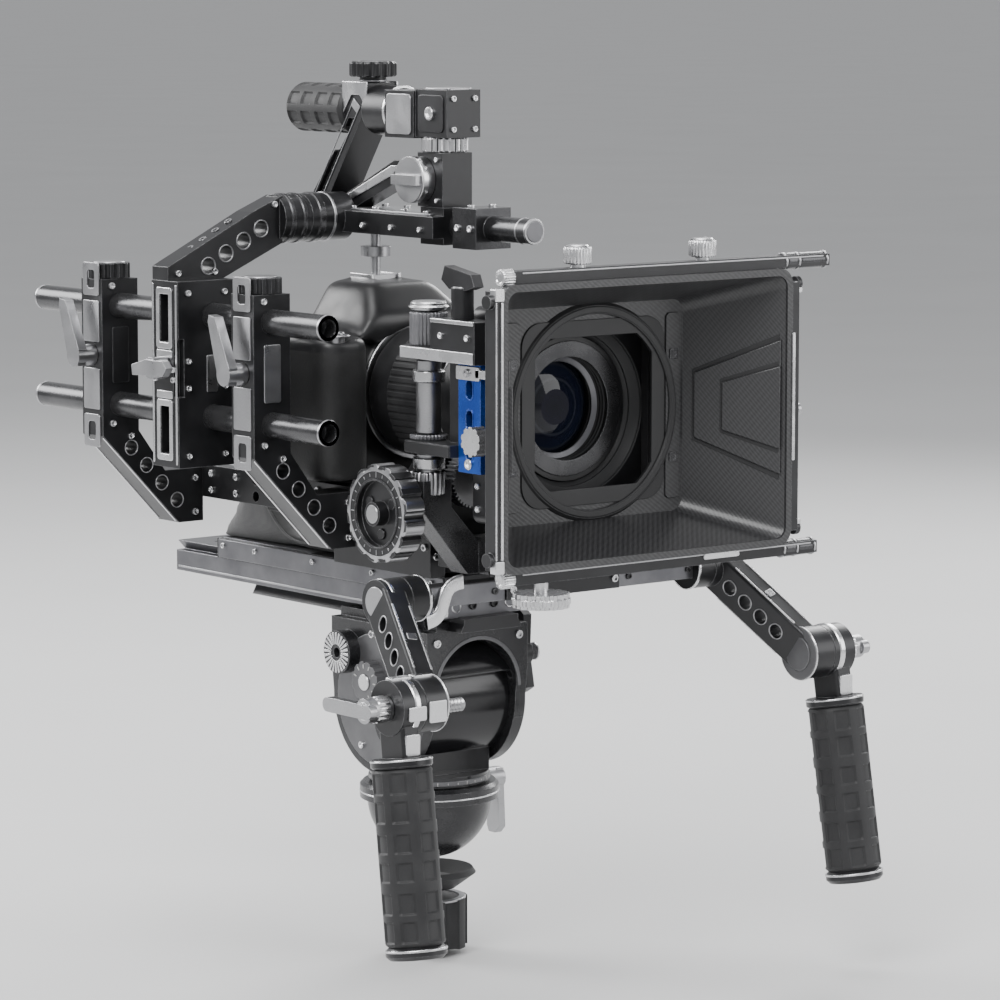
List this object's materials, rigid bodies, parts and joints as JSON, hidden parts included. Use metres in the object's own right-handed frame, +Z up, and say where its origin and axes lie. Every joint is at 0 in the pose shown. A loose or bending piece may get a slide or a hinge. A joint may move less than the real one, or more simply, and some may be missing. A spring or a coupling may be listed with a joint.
{
  "type": "cinema camera rig",
  "caption": "Camera rig with matte box, follow focus, side rod cage, top handle and two handgrips, on a tilting and panning fluid head with a half-ball base.",
  "frame": {"origin": "on the pan axis, in the plane of the head base flange, where the half ball meets its bowl", "axes": "+Z up along the pan axis, lens looking along -Y, +X to the operator's left"},
  "size_m": [0.372, 0.45, 0.536],
  "materials": {
    "black_anodised": "satin black anodised",
    "grey_anodised": "satin grey anodised",
    "blue_anodised": "blue anodised",
    "silver": "turned bright metal",
    "rod_black": "smooth black rod",
    "rubber_black": "moulded rubber",
    "pad_grey": "soft grey pad",
    "camera_black": "textured black",
    "shade_black": "woven carbon look",
    "lens_glass": "coated glass",
    "head_grey": "stippled dark grey paint"
  },
  "bodies": {
    "head_base": {"half_ball": "head_grey"},
    "tie_down": {"tie_down_knob": "rubber_black"},
    "pan_lock": {"pan_lock_lever": "silver"},
    "pan": {"pan_housing": "head_grey"},
    "tilt": {"tilt_body": "head_grey"},
    "drag": {"drag_dial": "head_grey"},
    "tilt_lock": {"tilt_lock_lever": "black_anodised"},
    "plate": {"head_plate": "black_anodised", "dovetail_plate": "grey_anodised"},
    "plate_lock": {"plate_clamp_lever": "silver"},
    "rig": {"baseplate": "black_anodised", "shoulder_pad": "pad_grey", "base_rods": "rod_black", "side_plate": "black_anodised", "camera_body": "camera_black", "lens_barrel": "camera_black", "front_element": "lens_glass", "focus_gearbox": "black_anodised", "swing_bracket": "silver", "front_bracket": "black_anodised", "rear_bracket": "black_anodised", "side_rods": "rod_black", "grip_crossbar": "black_anodised"},
    "shutter": {"shutter_button": "silver"},
    "mode": {"mode_dial": "camera_black"},
    "zoom": {"zoom_ring": "rubber_black"},
    "focus": {"focus_gear_ring": "camera_black"},
    "pinion": {"focus_pinion": "silver"},
    "hand_wheel": {"focus_hand_wheel": "black_anodised"},
    "matte_box": {"swing_arm": "black_anodised", "stage_link": "blue_anodised", "filter_stage": "black_anodised", "sunshade": "shade_black", "shade_rails": "black_anodised", "shade_knobs": "silver"},
    "tray": {"filter_tray": "shade_black"},
    "swing_lock": {"swing_lock_lever": "silver"},
    "front_knob": {"front_rod_knob": "black_anodised"},
    "rear_knob": {"rear_rod_knob": "black_anodised"},
    "front_lever": {"front_ratchet_lever": "silver"},
    "rear_lever": {"rear_ratchet_lever": "silver"},
    "clamp": {"slide_clamp": "black_anodised", "handle_arm": "black_anodised"},
    "clamp_lever": {"clamp_ratchet_lever": "silver"},
    "handle": {"top_plate": "black_anodised", "top_rod": "rod_black", "shoe_post": "silver", "handle_frame": "black_anodised", "handle_grip": "rubber_black", "accessory_block": "black_anodised"},
    "grip_knob": {"handle_knob": "black_anodised"},
    "disc_knob": {"handle_disc_knob": "silver"},
    "arm_left": {"grip_arm_left": "black_anodised"},
    "arm_right": {"grip_arm_right": "black_anodised"},
    "grip_left": {"grip_yoke_left": "black_anodised", "grip_handle_left": "rubber_black"},
    "grip_right": {"grip_yoke_right": "black_anodised", "grip_handle_right": "rubber_black"},
    "lever_left": {"grip_lever_left": "silver"},
    "lever_right": {"grip_lever_right": "silver"}
  },
  "joints": [
    {"name": "tie_down_turn", "type": "hinge", "parent": "head_base", "child": "tie_down", "pos_m": [0, 0, -0.07], "axis": [0, 0, 1], "continuous": true},
    {"name": "pan_lock_turn", "type": "hinge", "parent": "head_base", "child": "pan_lock", "pos_m": [0.048, 0, 0.005], "axis": [1, 0, 0], "range_deg": [-60, 60]},
    {"name": "pan_turn", "type": "hinge", "parent": "head_base", "child": "pan", "pos_m": [0, 0, 0.02], "axis": [0, 0, 1], "continuous": true},
    {"name": "tilt_turn", "type": "hinge", "parent": "pan", "child": "tilt", "pos_m": [0, 0, 0.062], "axis": [1, 0, 0], "range_deg": [-70, 75]},
    {"name": "drag_dial_turn", "type": "hinge", "parent": "tilt", "child": "drag", "pos_m": [-0.042, 0.004, 0.073], "axis": [1, 0, 0], "range_deg": [0, 300]},
    {"name": "tilt_lock_turn", "type": "hinge", "parent": "tilt", "child": "tilt_lock", "pos_m": [0.045, -0.03, 0.086], "axis": [1, 0, 0], "range_deg": [-40, 40]},
    {"name": "head_plate_slide", "type": "slide", "parent": "tilt", "child": "plate", "axis": [0, 1, 0], "range_m": [-0.04, 0.04]},
    {"name": "plate_clamp_turn", "type": "hinge", "parent": "tilt", "child": "plate_lock", "pos_m": [-0.045, -0.02, 0.1106], "axis": [1, 0, 0], "range_deg": [-30, 60]},
    {"name": "rig_slide", "type": "slide", "parent": "plate", "child": "rig", "axis": [0, 1, 0], "range_m": [-0.02, 0.05]},
    {"name": "shutter_press", "type": "slide", "parent": "rig", "child": "shutter", "axis": [0, 0, 1], "range_m": [-0.0012, 0], "stiffness_N_per_m": 400, "springref_m": 0.001},
    {"name": "mode_dial_turn", "type": "hinge", "parent": "rig", "child": "mode", "pos_m": [0.0565, 0.048, 0.286], "axis": [0, 0, 1], "range_deg": [-150, 150]},
    {"name": "zoom_turn", "type": "hinge", "parent": "rig", "child": "zoom", "pos_m": [0, -0.036, 0.245], "axis": [0, 1, 0], "range_deg": [-45, 45]},
    {"name": "focus_turn", "type": "hinge", "parent": "rig", "child": "focus", "pos_m": [0, -0.0925, 0.245], "axis": [0, 1, 0], "range_deg": [-60, 60]},
    {"name": "pinion_turn", "type": "hinge", "parent": "rig", "child": "pinion", "pos_m": [-0.04129, -0.0925, 0.2037], "axis": [0, 1, 0], "range_deg": [-160, 160]},
    {"name": "hand_wheel_turn", "type": "hinge", "parent": "rig", "child": "hand_wheel", "pos_m": [-0.085, -0.08, 0.187], "axis": [1, 0, 0], "range_deg": [-160, 160]},
    {"name": "matte_box_swing", "type": "hinge", "parent": "rig", "child": "matte_box", "pos_m": [-0.072, -0.093, 0.26], "axis": [0, 0, -1], "range_deg": [0, 100]},
    {"name": "filter_tray_slide", "type": "slide", "parent": "matte_box", "child": "tray", "axis": [0, 0, 1], "range_m": [0, 0.125]},
    {"name": "swing_lock_turn", "type": "hinge", "parent": "matte_box", "child": "swing_lock", "pos_m": [-0.075, -0.128, 0.31], "axis": [0, 0, 1], "range_deg": [-90, 90]},
    {"name": "front_rod_knob_turn", "type": "hinge", "parent": "rig", "child": "front_knob", "pos_m": [-0.12, 0.004, 0.315], "axis": [0, 0, 1], "continuous": true},
    {"name": "front_ratchet_turn", "type": "hinge", "parent": "rig", "child": "front_lever", "pos_m": [-0.14, 0.004, 0.263], "axis": [1, 0, 0], "range_deg": [-20, 70]},
    {"name": "rear_rod_knob_turn", "type": "hinge", "parent": "rig", "child": "rear_knob", "pos_m": [-0.12, 0.161, 0.315], "axis": [0, 0, 1], "continuous": true},
    {"name": "rear_ratchet_turn", "type": "hinge", "parent": "rig", "child": "rear_lever", "pos_m": [-0.14, 0.161, 0.263], "axis": [1, 0, 0], "range_deg": [-20, 70]},
    {"name": "clamp_slide", "type": "slide", "parent": "rig", "child": "clamp", "axis": [0, 1, 0], "range_m": [-0.02, 0.05]},
    {"name": "clamp_ratchet_turn", "type": "hinge", "parent": "clamp", "child": "clamp_lever", "pos_m": [-0.15, 0.0655, 0.263], "axis": [1, 0, 0], "range_deg": [-60, 60]},
    {"name": "handle_tilt", "type": "hinge", "parent": "clamp", "child": "handle", "pos_m": [-0.044, 0.07, 0.347], "axis": [1, 0, 0], "range_deg": [-30, 0]},
    {"name": "grip_knob_turn", "type": "hinge", "parent": "handle", "child": "grip_knob", "pos_m": [0, 0.054, 0.435], "axis": [0, 0, 1], "continuous": true},
    {"name": "disc_knob_turn", "type": "hinge", "parent": "handle", "child": "disc_knob", "pos_m": [-0.016, -0.008, 0.372], "axis": [1, 0, 0], "continuous": true},
    {"name": "grip_arm_left_turn", "type": "hinge", "parent": "rig", "child": "arm_left", "pos_m": [0.1132, -0.119, 0.143], "axis": [1, 0, 0], "range_deg": [-40, 40]},
    {"name": "grip_left_turn", "type": "hinge", "parent": "arm_left", "child": "grip_left", "pos_m": [0.152, -0.179, 0.095], "axis": [1, 0, 0], "range_deg": [-45, 60]},
    {"name": "grip_lever_left_turn", "type": "hinge", "parent": "grip_left", "child": "lever_left", "pos_m": [0.176, -0.179, 0.095], "axis": [1, 0, 0], "range_deg": [-60, 60]},
    {"name": "grip_arm_right_turn", "type": "hinge", "parent": "rig", "child": "arm_right", "pos_m": [-0.1132, -0.119, 0.143], "axis": [1, 0, 0], "range_deg": [-40, 40]},
    {"name": "grip_right_turn", "type": "hinge", "parent": "arm_right", "child": "grip_right", "pos_m": [-0.152, -0.179, 0.095], "axis": [1, 0, 0], "range_deg": [-45, 60]},
    {"name": "grip_lever_right_turn", "type": "hinge", "parent": "grip_right", "child": "lever_right", "pos_m": [-0.176, -0.179, 0.095], "axis": [1, 0, 0], "range_deg": [-60, 60]}
  ],
  "couplings": [
    {"joint": "pinion_turn", "follows": "focus_turn", "ratio": -2.65},
    {"joint": "hand_wheel_turn", "follows": "focus_turn", "ratio": 2.65}
  ]
}
